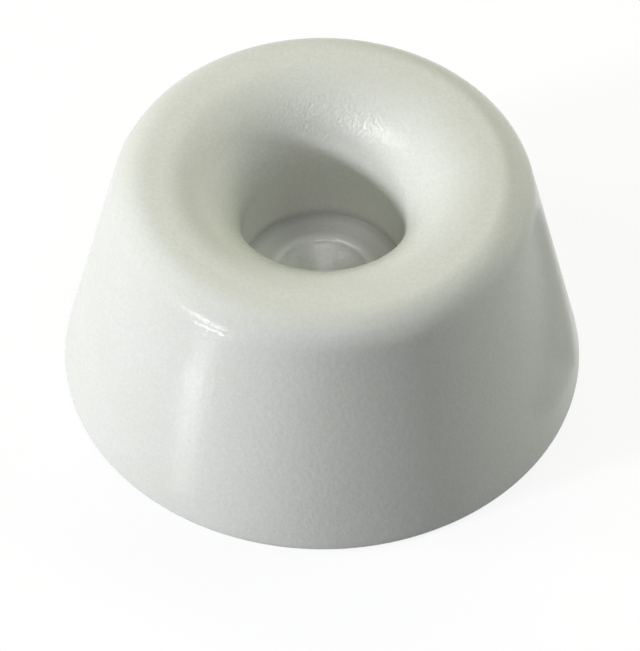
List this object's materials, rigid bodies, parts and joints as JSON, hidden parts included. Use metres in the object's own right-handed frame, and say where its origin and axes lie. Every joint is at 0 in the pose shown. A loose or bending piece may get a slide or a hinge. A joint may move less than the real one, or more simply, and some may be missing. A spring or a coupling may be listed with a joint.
{
  "type": "rubber buffer",
  "caption": "Round off-white rubber buffer with drafted sides, a soft rounded crest and a flared screw recess with a conical seat.",
  "frame": {"origin": "centre of the base's underside, on the axis of the screw hole", "axes": "+Z along the axis of the screw hole, from the surface the buffer is fixed to towards the crest; the part is round, so +X and +Y are free"},
  "size_m": [0.0378, 0.0378, 0.019],
  "materials": {
    "buffer": "off-white moulded soft rubber, satin, with a fine moulded grain"
  },
  "bodies": {
    "root": {"buffer": "buffer"}
  },
  "joints": []
}
